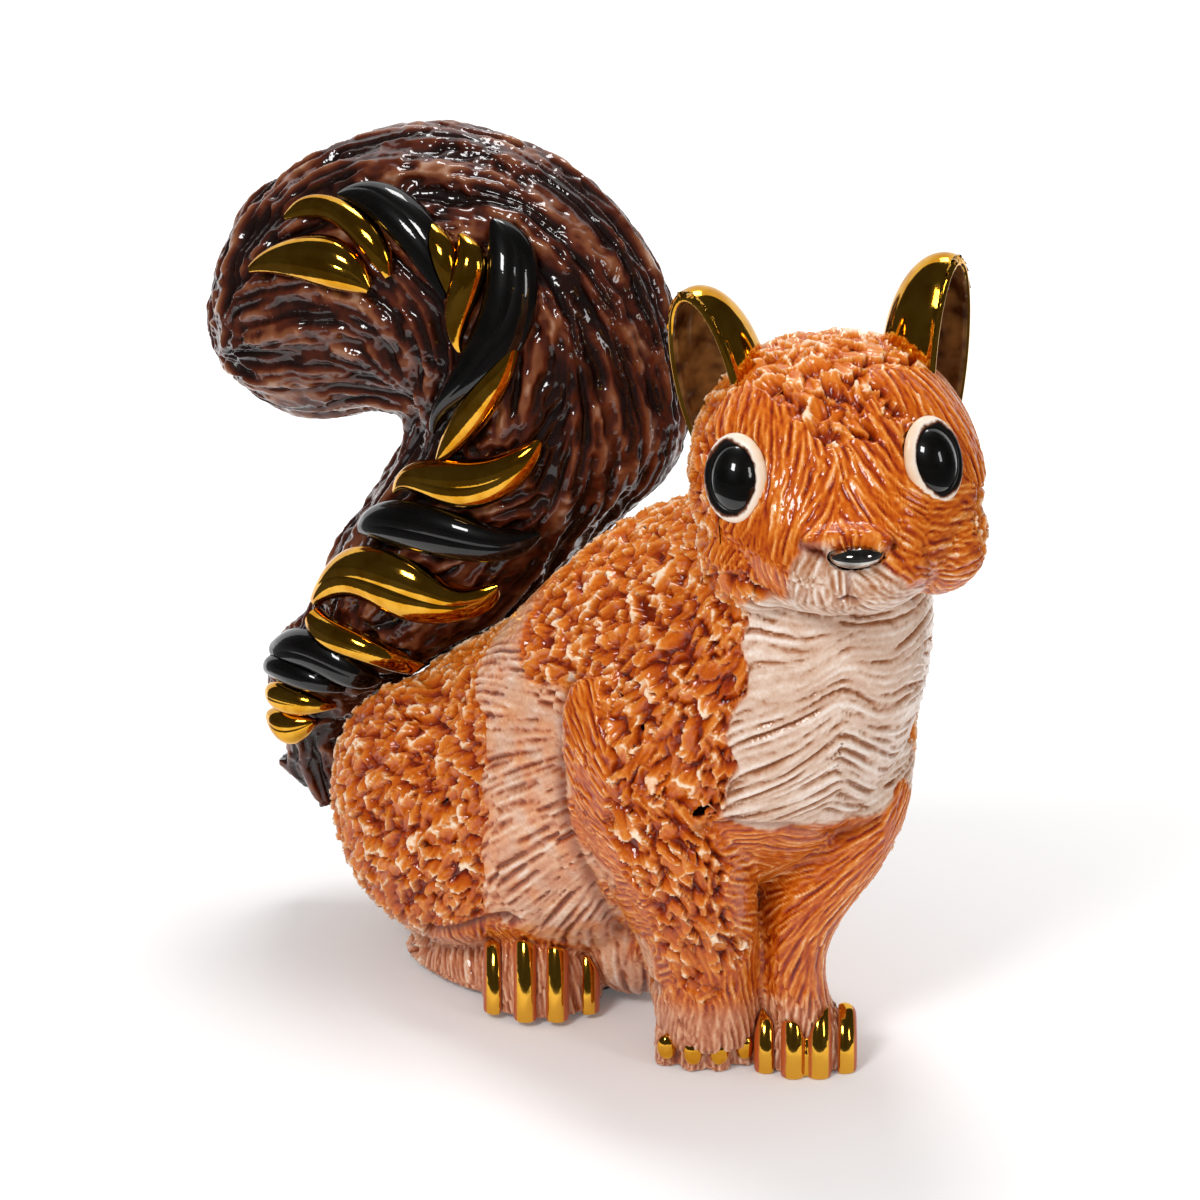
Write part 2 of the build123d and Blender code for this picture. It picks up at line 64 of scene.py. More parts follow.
camera_lens = bpy.data.cameras.new("camera")
camera_lens.sensor_width = 36
camera_lens.lens = camera_lens.sensor_width * focal_length / picture_side
camera_lens.shift_x = (picture_side / 2 - picture_middle[0]) / picture_side
camera_lens.clip_start, camera_lens.clip_end = 10 * mm, 20
camera = placed("camera", camera_lens)
camera.location = camera_place
camera.rotation_euler = camera_back.to_track_quat("Z", "Y").to_euler()
bpy.context.scene.camera = camera
bpy.context.scene.view_settings.view_transform = "Standard"

# Clay body of the squirrel, without its tail.
# The torso, head, haunches, legs and feet are luted together and the joints wiped over with
# slip. The fur is then carved and combed into the leather-hard clay.
CLAY_NODES = [
    "torso", "head", "haunch_right", "haunch_left", "foreleg_right", "foreleg_left",
    "forepaw_right", "forepaw_left", "hind_foot_right", "hind_foot_left",
]
clay_grain = 0.29 * mm
luting = 0.12 * mm
# The vent under the seat, which the felt covers: its middle and its size.
VENT_PLUG = ((0, 13 * mm, 3.8 * mm), (12 * mm, 12 * mm, 2.6 * mm))


def as_mesh(name, form):
    """A bmesh as a mesh, once its shape is done."""
    mesh = bpy.data.meshes.new(name)
    form.to_mesh(mesh)
    form.free()
    return mesh


def run_together(name, nodes, grain, rounds, grow, plugs=()):
    """Several nodes as one smooth mesh of small quads."""
    joined = bmesh.new()
    for node in nodes:
        joined.from_mesh(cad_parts[node].data)
    bmesh.ops.remove_doubles(joined, verts=joined.verts, dist=0.002 * mm)
    joined.normal_update()
    for vert in joined.verts:
        vert.co += vert.normal * grow
    for place, size in plugs:
        bmesh.ops.create_cube(
            joined, size=1, matrix=Matrix.Translation(place) @ Matrix.Diagonal((*size, 1))
        )
    rough = as_mesh(name, joined)
    skin = placed(name, rough)
    remesh = skin.modifiers.new("slip", "REMESH")
    remesh.mode = "VOXEL"
    remesh.voxel_size = grain
    smooth = skin.modifiers.new("sponge", "SMOOTH")
    smooth.iterations = rounds
    evaluated = skin.evaluated_get(bpy.context.evaluated_depsgraph_get())
    mesh = bpy.data.meshes.new_from_object(evaluated)
    bpy.data.objects.remove(skin)
    bpy.data.meshes.remove(rough)
    return mesh


def numbers(data, name, width, kind=np.float32):
    """One value or vector of each element of a mesh, as an array."""
    values = np.empty(len(data) * width, kind)
    data.foreach_get(name, values)
    return values.reshape(-1, width)


def outer_shell(mesh):
    """Drops the inner walls of the castings and the crumbs, and keeps the outer skin."""
    edges = numbers(mesh.edges, "vertices", 2, np.int32)
    shell = np.arange(len(mesh.vertices))
    settled = False
    while not settled:
        ends = shell[edges]
        lower = shell.copy()
        np.minimum.at(lower, ends[:, 0], ends.min(1))
        np.minimum.at(lower, ends[:, 1], ends.min(1))
        lower = lower[lower]
        settled = np.array_equal(lower, shell)
        shell = lower
    outer = np.bincount(shell).argmax()
    loose = bmesh.new()
    loose.from_mesh(mesh)
    loose.verts.ensure_lookup_table()
    crumbs = [loose.verts[index] for index in np.flatnonzero(shell != outer)]
    bmesh.ops.delete(loose, geom=crumbs, context="VERTS")
    loose.to_mesh(mesh)
    loose.free()
    return mesh


def fused_skin(name, nodes, grain, rounds, plugs=()):
    """The outside of several castings luted together."""
    return outer_shell(run_together(name, nodes, grain, rounds, luting, plugs))


def clay_noise(points, size, seed):
    """Smooth noise from -1 to 1 at points, with lumps of a given size, in the points' units."""
    block = 64
    lumps = np.random.default_rng(seed).uniform(-1, 1, (block, block, block)).astype(np.float32)
    cell = np.floor(points / size)
    part = (points / size - cell).astype(np.float32)
    part = part * part * (3 - 2 * part)
    low = cell.astype(int) % block
    high = (low + 1) % block
    total = 0
    for x, along_x in ((low[:, 0], 1 - part[:, 0]), (high[:, 0], part[:, 0])):
        for y, along_y in ((low[:, 1], 1 - part[:, 1]), (high[:, 1], part[:, 1])):
            for z, along_z in ((low[:, 2], 1 - part[:, 2]), (high[:, 2], part[:, 2])):
                total = total + lumps[x, y, z] * along_x * along_y * along_z
    return total


def step(value, low, high):
    """0 below low, 1 above high, and a smooth rise between."""
    rise = np.clip((value - low) / (high - low), 0, 1)
    return rise * rise * (3 - 2 * rise)


def seen_places(skin_tree, pixels):
    """The places in mm where the photo's pixels meet a skin."""
    places = []
    for across, down in pixels:
        ray = Vector((
            (across - picture_middle[0]) / focal_length, (picture_middle[1] - down) / focal_length, -1
        ))
        ray.rotate(camera.rotation_euler)
        place = skin_tree.ray_cast(camera_place, ray)[0]
        if place:
            places.append(np.array(place) / mm)
    return places


def tree_of(mesh):
    """A mesh as a tree that rays and nearest places are looked up in."""
    corners = [vert.co.copy() for vert in mesh.vertices]
    return BVHTree.FromPolygons(corners, [tuple(face.vertices) for face in mesh.polygons])


def tool_samples(strokes):
    """Places along strokes of the tool, 2 mm apart, and the ways that it went there."""
    spacing, fewest = 2, 2
    places, ways = [], []
    for stroke in strokes:
        stroke = np.array(stroke)
        for start, end in zip(stroke, stroke[1:]):
            length = np.linalg.norm(end - start)
            count = max(fewest, round(length / spacing))
            for share in (np.arange(count) + 0.5) / count:
                places.append(start + (end - start) * share)
                ways.append((end - start) / length)
    return np.array(places), np.array(ways)


def tool_flow(points, normals, strokes):
    """The way the tool went at each point, and the share of each kind of stroke near it."""
    softness, falloff, sharpness, batch = 3.0, 3, 1.7, 20000
    places, ways = zip(*(tool_samples(group) for group in strokes))
    kind = np.concatenate([np.full(len(group), index) for index, group in enumerate(places)])
    places, ways = np.concatenate(places), np.concatenate(ways)
    pulls = np.einsum("mi,mj->mij", ways, ways).reshape(-1, 9)
    flow = np.empty((len(points), 3))
    shares = np.empty((len(points), len(strokes)))
    for first in range(0, len(points), batch):
        part = slice(first, first + batch)
        p, n = points[part], normals[part]
        apart = (p * p).sum(1)[:, None] - 2 * p @ places.T + (places * places).sum(1)
        pull = 1 / (np.maximum(apart, 0) + softness) ** falloff
        flat = np.eye(3) - np.einsum("ni,nj->nij", n, n)
        spread = flat @ (pull @ pulls).reshape(-1, 3, 3) @ flat
        spread /= np.maximum(spread.trace(axis1=1, axis2=2), 1e-12)[:, None, None]
        flow[part] = np.linalg.eigh(spread)[1][:, :, 2]
        pull = pull ** sharpness
        for index in range(len(strokes)):
            shares[part, index] = pull[:, kind == index].sum(1) / pull.sum(1)
    return flow, shares


def drawn_noise(points, flow, normals, size, reach, count, seed):
    """Noise in lines along the flow, as a tool drags clay: lines one size apart, spread 1."""
    across = np.cross(normals, flow) * (size / 4)
    total = 0
    for share in np.linspace(-1, 1, count):
        along = points + flow * (share * reach)
        total = total + clay_noise(along + across, size / 2, seed)
        total = total - clay_noise(along - across, size / 2, seed)
    return total / total.std()


def streaks(points, flow, normals, size, reach, seed):
    """Noise in long lines that follow the flow round the form, one size apart, spread 1."""
    cell, margin, paces = 1.2, 3, 2.2
    low = points.min(0) - margin * cell
    shape = tuple(((points.max(0) - low) / cell).astype(int) + margin + 1)

    def cell_of(places):
        key = np.clip(((places - low) / cell).astype(int), 0, np.array(shape) - 1)
        return np.ravel_multi_index(tuple(key.T), shape)

    # The flow and the way that the skin faces, gathered in a grid of cells and blurred.
    count = int(np.prod(shape))
    here = cell_of(points)
    pulls = np.einsum("ni,nj->nij", flow, flow).reshape(-1, 9)
    field = [np.bincount(here, part, count).reshape(shape) for part in (*pulls.T, *normals.T)]
    for axis in range(3):
        field = [part * 2 + np.roll(part, 1, axis) + np.roll(part, -1, axis) for part in field]
    field = np.stack([part.ravel() for part in field], 1)
    pulls, faces = field[:, :9].reshape(-1, 3, 3), field[:, 9:]
    used = np.flatnonzero(pulls.trace(axis1=1, axis2=2) > 0)
    ways = np.zeros((count, 3))
    ways[used] = np.linalg.eigh(pulls[used])[1][:, :, 2]
    # From each point a walk goes along the flow both ways, and adds up the noise that it meets.
    total = 0
    pace = size / paces
    for sense in (1, -1):
        place, heading, facing = points.copy(), flow * sense, normals
        for _ in range(round(reach / pace)):
            across = np.cross(facing, heading) * (size / 4 * sense)
            total = total + clay_noise(place + across, size / 2, seed)
            total = total - clay_noise(place - across, size / 2, seed)
            place += heading * pace
            here = cell_of(place)
            turn = ways[here] * np.sign((ways[here] * heading).sum(1))[:, None]
            found = (ways[here] != 0).any(1)[:, None]
            heading = np.where(found, turn, heading)
            facing = np.where(found, faces[here], facing)
            facing = facing / np.maximum(np.linalg.norm(facing, axis=1), 1e-9)[:, None]
    return total / total.std()


def chipped(points, flow, size, stretch, seed):
    """Clay raised in chips, longer along the flow: how far up its chip each point is, and how
    far it is from the next chip."""
    block, near, steepness = 32, 2, 1.4
    random = np.random.default_rng(seed)
    seats = random.random((block, block, block, 3), np.float32)
    leans = random.normal(size=(block, block, block, 3)).astype(np.float32)
    leans /= np.linalg.norm(leans, axis=3)[..., None]
    places, flow = (points / size).astype(np.float32), flow.astype(np.float32)
    cell = np.floor(places).astype(int)
    nearest = np.full(len(points), np.inf, np.float32)
    second = nearest.copy()
    tilt = np.zeros(len(points), np.float32)
    for shift in np.ndindex((2 * near + 1,) * 3):
        other = cell + shift - near
        key = tuple((other % block).T)
        apart = places - other - seats[key]
        along = (apart * flow).sum(1)
        away = (apart * apart).sum(1) - (1 - 1 / stretch**2) * along * along
        closer = away < nearest
        second = np.where(closer, nearest, np.minimum(second, away))
        nearest = np.where(closer, away, nearest)
        tilt = np.where(closer, (apart * leans[key]).sum(1), tilt)
    return np.clip(tilt * steepness, -1, 1), np.sqrt(second) - np.sqrt(nearest)


def neighbour_sum(values, edges):
    """What the values of each point's neighbours add up to."""
    one, other = edges.T
    return np.bincount(one, values[other], len(values)) + np.bincount(other, values[one], len(values))


def evened(values, edges, rounds):
    """Values after each point has taken the mean of itself and its neighbours, some rounds over."""
    near = np.bincount(edges.ravel(), minlength=len(values)) + 1
    for _ in range(rounds):
        values = (values + neighbour_sum(values, edges)) / near
    return values


def carve(mesh, points, normals, depth):
    """Moves points in by their depths, and less where the skin would fold through itself."""
    corner = numbers(mesh.loops, "vertex_index", 1, np.int32)[:, 0]
    sides = numbers(mesh.polygons, "loop_total", 1, np.int32)[:, 0]
    edges = numbers(mesh.edges, "vertices", 2, np.int32)
    facing = numbers(mesh.polygons, "normal", 3)
    rounds_left, least_facing, held_back = 10, 0.05, 0.7
    folded = True
    while folded and rounds_left:
        carved = points - normals * depth[:, None]
        mesh.vertices.foreach_set("co", (carved * mm).astype(np.float32).ravel())
        mesh.update()
        turned = (numbers(mesh.polygons, "normal", 3) * facing).sum(1) < least_facing
        hit = np.zeros(len(points), bool)
        hit[corner[np.repeat(turned, sides)]] = True
        near = hit[edges].any(1)
        hit[edges[near].ravel()] = True
        depth = np.where(hit, depth * held_back, depth)
        folded = hit.any()
        rounds_left -= 1
    return carved


def groove_depth(points, line, radius):
    """How deep a groove along a line of points is at each point, from 0 to 1."""
    line = np.array(line, float)
    nearest = np.full(len(points), np.inf)
    for start, end in zip(line, line[1:]):
        along = end - start
        share = np.clip((points - start) @ along / (along @ along), 0, 1)
        apart = points - start - share[:, None] * along
        nearest = np.minimum(nearest, (apart * apart).sum(1))
    return np.exp(-nearest / radius**2)


# Strokes of the tools as the photograph shows them, in its pixels: the wrinkled fur, the combed
# hairs, the locks of the chest, and the strokes of the flank and of the muzzle.
WRINKLED_STROKES = [
    [(600, 562), (640, 535)], [(640, 602), (690, 572)], [(565, 640), (612, 605)], [(635, 662), (672, 632)],
    [(697, 640), (725, 603)], [(660, 545), (695, 520)], [(530, 668), (575, 650)], [(612, 722), (650, 690)],
    [(675, 740), (697, 702)], [(632, 782), (652, 745)], [(700, 795), (714, 765)], [(708, 700), (728, 672)],
    [(620, 815), (640, 845)], [(660, 820), (685, 845)], [(640, 860), (668, 885)], [(700, 855), (718, 890)],
    [(655, 910), (690, 942)], [(718, 925), (736, 962)], [(690, 975), (712, 1005)],
    [(360, 752), (398, 735)], [(425, 765), (470, 735)], [(348, 805), (362, 775)], [(400, 830), (412, 798)],
    [(448, 842), (465, 812)], [(375, 892), (392, 865)], [(435, 895), (452, 862)], [(390, 710), (440, 700)],
    [(800, 362), (816, 386)], [(848, 380), (860, 408)], [(768, 372), (786, 388)], [(895, 348), (912, 362)],
    [(828, 338), (852, 345)], [(828, 400), (836, 425)], [(740, 362), (760, 352)], [(720, 388), (735, 375)],
    [(700, 440), (702, 470)], [(702, 500), (706, 530)], [(712, 575), (722, 600)], [(738, 590), (755, 604)],
    [(984, 505), (984, 535)], [(975, 575), (966, 592)],
    [(765, 350), (790, 340)], [(800, 335), (840, 330)], [(860, 345), (890, 355)], [(780, 395), (800, 415)],
    [(850, 420), (870, 440)], [(820, 420), (835, 445)], [(880, 395), (890, 415)], [(925, 360), (945, 372)],
]
COMBED_STROKES = [
    [(572, 702), (588, 748)], [(566, 762), (590, 798)], [(572, 822), (600, 848)], [(604, 892), (640, 908)],
    [(640, 955), (665, 975)], [(402, 940), (408, 962)], [(430, 945), (442, 985)],
    [(470, 940), (478, 1000)], [(772, 845), (830, 845), (885, 820)], [(772, 885), (830, 872), (876, 842)],
    [(774, 925), (820, 900), (862, 862)], [(776, 955), (808, 920), (840, 888)],
    [(788, 975), (806, 940), (828, 915)], [(822, 978), (826, 945)], [(885, 830), (905, 780)],
    [(728, 842), (754, 840)], [(734, 882), (755, 880)], [(738, 922), (756, 922)],
    [(688, 1000), (680, 1030)], [(714, 1003), (717, 1035)], [(738, 1003), (744, 1025)],
    [(665, 1005), (662, 1028)], [(778, 585), (779, 541), (798, 496), (806, 470)],
    [(765, 580), (767, 520), (772, 450), (772, 400)], [(729, 556), (742, 528), (755, 505)],
    [(712, 560), (725, 525), (733, 512)], [(735, 395), (730, 418)], [(758, 392), (750, 425)],
    [(783, 400), (790, 440), (783, 480)], [(801, 523), (819, 493), (835, 461)],
    [(777, 508), (787, 467), (795, 428)], [(846, 480), (873, 523)],
    [(857, 434), (880, 465), (900, 490), (930, 507), (975, 503)],
    [(875, 500), (900, 528), (930, 545), (978, 541)], [(880, 545), (905, 565), (935, 578), (975, 570)],
    [(868, 520), (895, 555), (930, 590)], [(889, 373), (904, 400)], [(912, 366), (935, 386)],
    [(940, 376), (958, 398)], [(963, 430), (980, 468)], [(870, 400), (893, 440)], [(815, 440), (822, 470)],
    [(838, 450), (846, 470)], [(390, 932), (396, 950)], [(415, 942), (422, 975)], [(450, 942), (458, 990)],
    [(490, 940), (495, 1000)], [(500, 1005), (470, 1005)], [(400, 955), (430, 985)],
    [(590, 960), (596, 995)], [(700, 980), (705, 1000)], [(740, 975), (745, 1000)],
]
CHEST_STROKES = [
    [(752, 722), (800, 708), (833, 690)], [(740, 795), (790, 775), (834, 740)],
    [(748, 823), (800, 806), (842, 784)], [(752, 760), (800, 742), (838, 715)],
    [(765, 685), (805, 675), (842, 650)], [(750, 607), (800, 616), (835, 618)],
    [(765, 645), (810, 652), (842, 640)], [(850, 702), (882, 718), (922, 694)],
    [(850, 737), (885, 752), (922, 734)], [(848, 772), (878, 790), (912, 766)],
    [(856, 655), (895, 654), (922, 630)], [(855, 680), (888, 690), (922, 668)],
    [(842, 800), (872, 808), (893, 795)], [(870, 618), (905, 612)], [(812, 612), (850, 618)],
    [(870, 618), (905, 610)],
]
FLANK_STROKES = [
    [(490, 688), (552, 704)], [(497, 742), (556, 738)], [(500, 792), (560, 768)],
    [(498, 856), (562, 822)], [(508, 905), (572, 862)], [(560, 922), (605, 880)],
    [(612, 940), (618, 985)], [(645, 958), (652, 992)],
]
MUZZLE_STROKES = [
    [(795, 598), (806, 570)], [(820, 604), (822, 580)], [(900, 592), (872, 572)],
    [(925, 590), (900, 602)],
]
# Modelling lines: their pixels, how far each spreads, and how deep it is pressed in, in mm. The
# first, the hood of the snout, stands out instead.
MODELLED_LINES = [
    ([(808, 541), (825, 538), (850, 536), (872, 538), (884, 542)], 1.2, -2.0),
    ([(804, 546), (815, 550), (824, 556)], 0.6, 1.0),
    ([(892, 545), (884, 550), (877, 556)], 0.6, 1.0),
    ([(849, 570), (850, 594)], 0.3, 0.5),
    ([(841, 603), (848, 599), (856, 603)], 0.45, 0.8),
    ([(928, 548), (932, 575), (918, 600)], 0.7, 0.3),
    ([(785, 560), (780, 585), (790, 603)], 0.7, 0.2),
    ([(380, 922), (425, 933), (470, 929), (508, 920)], 0.9, 1.3),
    ([(566, 680), (556, 740), (560, 810), (588, 880), (622, 935), (652, 988)], 1.0, 0.8),
    ([(700, 832), (735, 826), (790, 828), (840, 834), (878, 822)], 0.8, 0.5),
]

skin = fused_skin("clay_body", CLAY_NODES, clay_grain, rounds=12, plugs=[VENT_PLUG])
skin_tree = tree_of(skin)
points = numbers(skin.vertices, "co", 3).astype(float) / mm
normals = numbers(skin.vertices, "normal", 3).astype(float)


def on_both_sides(strokes):
    """Strokes where the photo shows them, and those of the body's right side on its left too:
    those past the side line and below the neck or behind the nape, in mm."""
    side, neck, nape = -10, 62, -28
    found = [np.array(seen_places(skin_tree, stroke)) for stroke in strokes]
    found = [stroke for stroke in found if len(stroke) > 1]
    middles = [stroke.mean(0) for stroke in found]
    right = [
        stroke for stroke, (x, y, z) in zip(found, middles) if x < side and (z < neck or y > nape)
    ]
    return found + [stroke * (-1, 1, 1) for stroke in right]


kinds = (WRINKLED_STROKES, COMBED_STROKES, CHEST_STROKES, FLANK_STROKES, MUZZLE_STROKES)
strokes = [on_both_sides(kind) for kind in kinds]
flow, shares = tool_flow(points, normals, strokes)
# How far each point is wrinkled fur, or long locks, and how far its glaze is pearl. The kinds
# meet in ragged edges. The feet are paler, and that fades out between the heights of foot_top.
raggedness, foot_pearl, foot_top = 0.15, 0.45, (8, 12)
wrinkled = step(shares[:, 0] + raggedness * clay_noise(points, 2.5, seed=5), 0.35, 0.65)
blur = raggedness * clay_noise(points, 2.0, seed=6)
long = step(shares[:, 2] + shares[:, 3] + blur, 0.3, 0.7)
pearl = step(shares[:, 2] + 0.5 * shares[:, 3] + shares[:, 4] + blur, 0.1, 0.9)
pearl = np.maximum(pearl, foot_pearl * (1 - step(points[:, 2], *foot_top)))
# The cuts, in mm: chips that slope up to a lip over the cut before the next chip, with hairs on
# them, and locks in long lines. The chips and hairs sway a little off their way.
lip_width, cut_width, chip_sway, hair_sway = 0.15, 0.32, 0.6, 0.12
sway = np.stack([clay_noise(points, 1.6, seed) for seed in (11, 12, 13)], 1)
tilt, gap = chipped(points + chip_sway * sway, flow, size=1.9, stretch=2.2, seed=21)
hairs = drawn_noise(points + hair_sway * sway, flow, normals, size=0.8, reach=2.4, count=15, seed=22)
locks = streaks(points, flow, normals, size=1.2, reach=6.0, seed=23)
lip = np.exp(-((gap / lip_width) ** 2)) * np.maximum(tilt, 0)
cut = np.exp(-((gap / cut_width) ** 2)) * np.maximum(-tilt, 0)
# Heights from 0 in the deepest cut to 1 on the highest ridge, for the form. The glaze takes its
# colour from ridge, where lips and cuts tell more, and it is paler at the heights of the crown,
# partly where the glaze is sprayed thin and partly as painted light from above.
fine, crown_thin_glaze_and_top_light, crown = 0.07 * np.clip(hairs, -1.5, 1.5), 0.1, (92, 104)
raised = 0.5 + 0.42 * tilt + 0.15 * lip - 0.45 * cut + fine
folded = 0.5 + 0.16 * tilt + 0.6 * lip - 0.7 * cut + fine
# Paler towards the top of the head: partly thinner glaze, partly painted light falling from above.
folded = np.clip(folded + crown_thin_glaze_and_top_light * step(points[:, 2], *crown), 0, 1)
combed = 0.5 + 0.25 * np.clip(hairs, -2, 1.5)
drawn = 0.12 + 0.55 * step(locks, -1.8, -0.5) + 0.12 * np.clip(locks, -1, 2)
smooth = 1 - wrinkled - (1 - wrinkled) * long
ridge = wrinkled * folded + (1 - wrinkled) * long * drawn + smooth * combed
height = wrinkled * raised + (1 - wrinkled) * long * drawn + smooth * combed
wrinkled_depth, lock_depth, combed_depth = 1.45, 0.75, 0.38
depth = wrinkled * wrinkled_depth + (1 - wrinkled) * long * lock_depth + smooth * combed_depth
sunk = np.zeros(len(points))
lines = np.zeros(len(points))
for pixels, spread, deep in MODELLED_LINES:
    dip = groove_depth(points, seen_places(skin_tree, pixels), spread)
    sunk = np.where(np.abs(dip * deep) > np.abs(sunk), dip * deep, sunk)
    if deep > 0:
        lines = np.maximum(lines, dip * min(deep, 1))
deepest = 1.2
depth = luting / mm + depth * np.clip(1 - height, 0, deepest) + sunk
points = carve(skin, points, normals, depth)


def keep_values(mesh, **values):
    """Writes one value for each point of a mesh, for its glaze to read."""
    for name, value in values.items():
        mesh.attributes.new(name, "FLOAT", "POINT").data.foreach_set("value", value.astype(np.float32))


keep_values(skin, ridge=ridge, pearl=pearl, lines=lines)


def nearest_nodes(mesh, nodes):
    """The node whose solid lies nearest to each point of a mesh, as an index."""
    thinned = 3
    tree = KDTree(sum(len(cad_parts[node].data.vertices) for node in nodes))
    owner = []
    for index, node in enumerate(nodes):
        for place in numbers(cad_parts[node].data.vertices, "co", 3)[::thinned]:
            tree.insert(place, len(owner))
            owner.append(index)
    tree.balance()
    return np.array([owner[tree.find(vert.co)[1]] for vert in mesh.vertices])


def settled(owner, edges, kinds, rounds=20):
    """Owners after each point has taken that of most of its neighbours, some rounds over."""
    own_vote = 0.5
    for _ in range(rounds):
        shared = [owner == kind for kind in range(kinds)]
        owner = np.argmax([neighbour_sum(mine, edges) + own_vote * mine for mine in shared], 0)
    return owner


def cut_out(skin, chosen, name, wall):
    """The chosen faces of a skin as a closed piece: its cut edge is turned in and filled."""
    full_normals = skin.attributes.get("lie") or skin.attributes.new("lie", "FLOAT_VECTOR", "POINT")
    full_normals.data.foreach_set("vector", numbers(skin.vertices, "normal", 3).ravel())
    part = bmesh.new()
    part.from_mesh(skin)
    part.faces.ensure_lookup_table()
    rest = [part.faces[index] for index in np.flatnonzero(~chosen)]
    bmesh.ops.delete(part, geom=rest, context="FACES")
    lie = part.verts.layers.float_vector["lie"]
    rim = [edge for edge in part.edges if edge.is_boundary]
    turned = bmesh.ops.extrude_edge_only(part, edges=rim)["geom"]
    inner = [item for item in turned if isinstance(item, bmesh.types.BMVert)]
    for vert in inner:
        vert.co -= vert[lie] * wall
    bmesh.ops.holes_fill(part, edges=[edge for edge in part.edges if edge.is_boundary])
    bmesh.ops.triangulate(part, faces=[face for face in part.faces if len(face.verts) > 4])
    mesh = as_mesh(name, part)
    mesh.shade_smooth()
    mesh.normals_split_custom_set_from_vertices(numbers(mesh.attributes["lie"].data, "vector", 3))
    return placed(name, mesh)


def hex_colour(code):
    """An sRGB hex colour as linear red, green, blue and 1."""
    channels = [int(code[index : index + 2], 16) / 255 for index in (0, 2, 4)]
    return (*[c / 12.92 if c <= 0.04045 else ((c + 0.055) / 1.055) ** 2.4 for c in channels], 1)


def add_node(owner, kind, settings=(), **links):
    """Adds a node with its settings, and links its sockets, by name or number, to others."""
    added = owner.node_tree.nodes.new(f"ShaderNode{kind}")
    for name, value in dict(settings).items():
        if isinstance(name, str) and hasattr(added, name):
            setattr(added, name, value)
        elif name == "stops":
            ramp = added.color_ramp.elements
            while len(ramp) < len(value):
                ramp.new(1)
            for element, (position, colour) in zip(ramp, value):
                element.position = position
                element.color = hex_colour(colour)
        else:
            added.inputs[name].default_value = value
    for name, source in links.items():
        socket = int(name[1:]) if name[0] == "_" else name.replace("_", " ")
        owner.node_tree.links.new(source, added.inputs[socket])
    return added


def new_material(name):
    """A material with nothing but its output."""
    material = bpy.data.materials.new(name)
    material.use_nodes = True
    material.node_tree.nodes.clear()
    return material


def finish_material(material, surface):
    """The material with its surface on its output."""
    add_node(material, "OutputMaterial", Surface=surface.outputs[0])
    return material


def finish_wavy(material, colour, noise, strength, height, shine):
    """The material with a colour, noise as waves in its surface, and a shine."""
    lift = {"Strength": strength, "Distance": height}
    bump = add_node(material, "Bump", lift, Height=noise.outputs["Fac"])
    surface = add_node(material, "BsdfPrincipled", shine, Base_Color=colour, Normal=bump.outputs[0])
    return finish_material(material, surface)


# Orange glaze sprayed over white earthenware, and pearl lustre on the chest, the muzzle and the
# flank. It gives the eye deep orange in the cuts that breaks to pale peach on the ridges.
def glazed_earthenware():
    material = new_material("orange_glaze_on_earthenware")
    ridge, pearl, lines = (
        add_node(material, "Attribute", {"attribute_name": name}).outputs["Fac"]
        for name in ("ridge", "pearl", "lines")
    )
    place = add_node(material, "TexCoord").outputs["Object"]
    # The glaze is thicker here and thinner there over a few millimetres, and finely speckled.
    drift_share, grit_share = 0.45, 0.3
    drift = add_node(material, "TexNoise", {"Scale": 1 / (6 * mm), "Detail": 3.0}, Vector=place)
    grit = add_node(material, "TexNoise", {"Scale": 1 / (0.45 * mm), "Detail": 3.0}, Vector=place)
    thin = add_node(
        material, "Math", {"operation": "MULTIPLY_ADD", 1: drift_share}, _0=drift.outputs["Fac"], _2=ridge
    )
    height = add_node(
        material, "Math", {"operation": "MULTIPLY_ADD", 1: grit_share},
        _0=grit.outputs["Fac"], _2=thin.outputs[0],
    )
    thickness = add_node(material, "MapRange", {"From Max": 1.6}, Value=height.outputs[0])
    orange_breaks = [
        (0.15, "4a0800"), (0.34, "9a2e00"), (0.56, "c85e02"), (0.74, "e28c38"), (0.88, "fbdfc0")
    ]
    orange = add_node(material, "ValToRGB", {"stops": orange_breaks}, Fac=thickness.outputs[0])
    pearl_breaks = [
        (0.12, "6a3018"), (0.32, "a86c44"), (0.52, "c2967a"), (0.7, "dec2ae"), (0.9, "faf0e8")
    ]
    white = add_node(material, "ValToRGB", {"stops": pearl_breaks}, Fac=thickness.outputs[0])
    coat = add_node(
        material, "Mix", {"data_type": "RGBA"}, Factor=pearl, _6=orange.outputs[0], _7=white.outputs[0]
    )
    pooled = add_node(
        material, "Mix", {"data_type": "RGBA", 7: hex_colour("7a2c06")}, Factor=lines, _6=coat.outputs[2]
    )
    shine = {"Roughness": 0.5, "Specular IOR Level": 0.1, "Coat Weight": 0.8, "Coat Roughness": 0.06}
    return finish_wavy(material, pooled.outputs[2], grit, strength=0.4, height=0.12 * mm, shine=shine)


def face_places(mesh, points):
    """The place of one corner of each face, and which point it is."""
    corner = numbers(mesh.loops, "vertex_index", 1, np.int32)[:, 0]
    first = corner[numbers(mesh.polygons, "loop_start", 1, np.int32)[:, 0]]
    return points[first], first


def dress(skin, mine, names, along, node, glaze):
    """Cuts the faces that stand for a node out of a skin, in pieces of like size along it."""
    wall = 0.8 * mm
    cuts = np.quantile(along[mine], np.linspace(0, 1, len(names) + 1)[1:-1])
    share = np.searchsorted(cuts, along)
    for index, name in enumerate(names):
        piece = cut_out(skin, mine & (share == index), name, wall)
        piece.data.materials.append(glaze)
        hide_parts(node)
        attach(piece, "root")


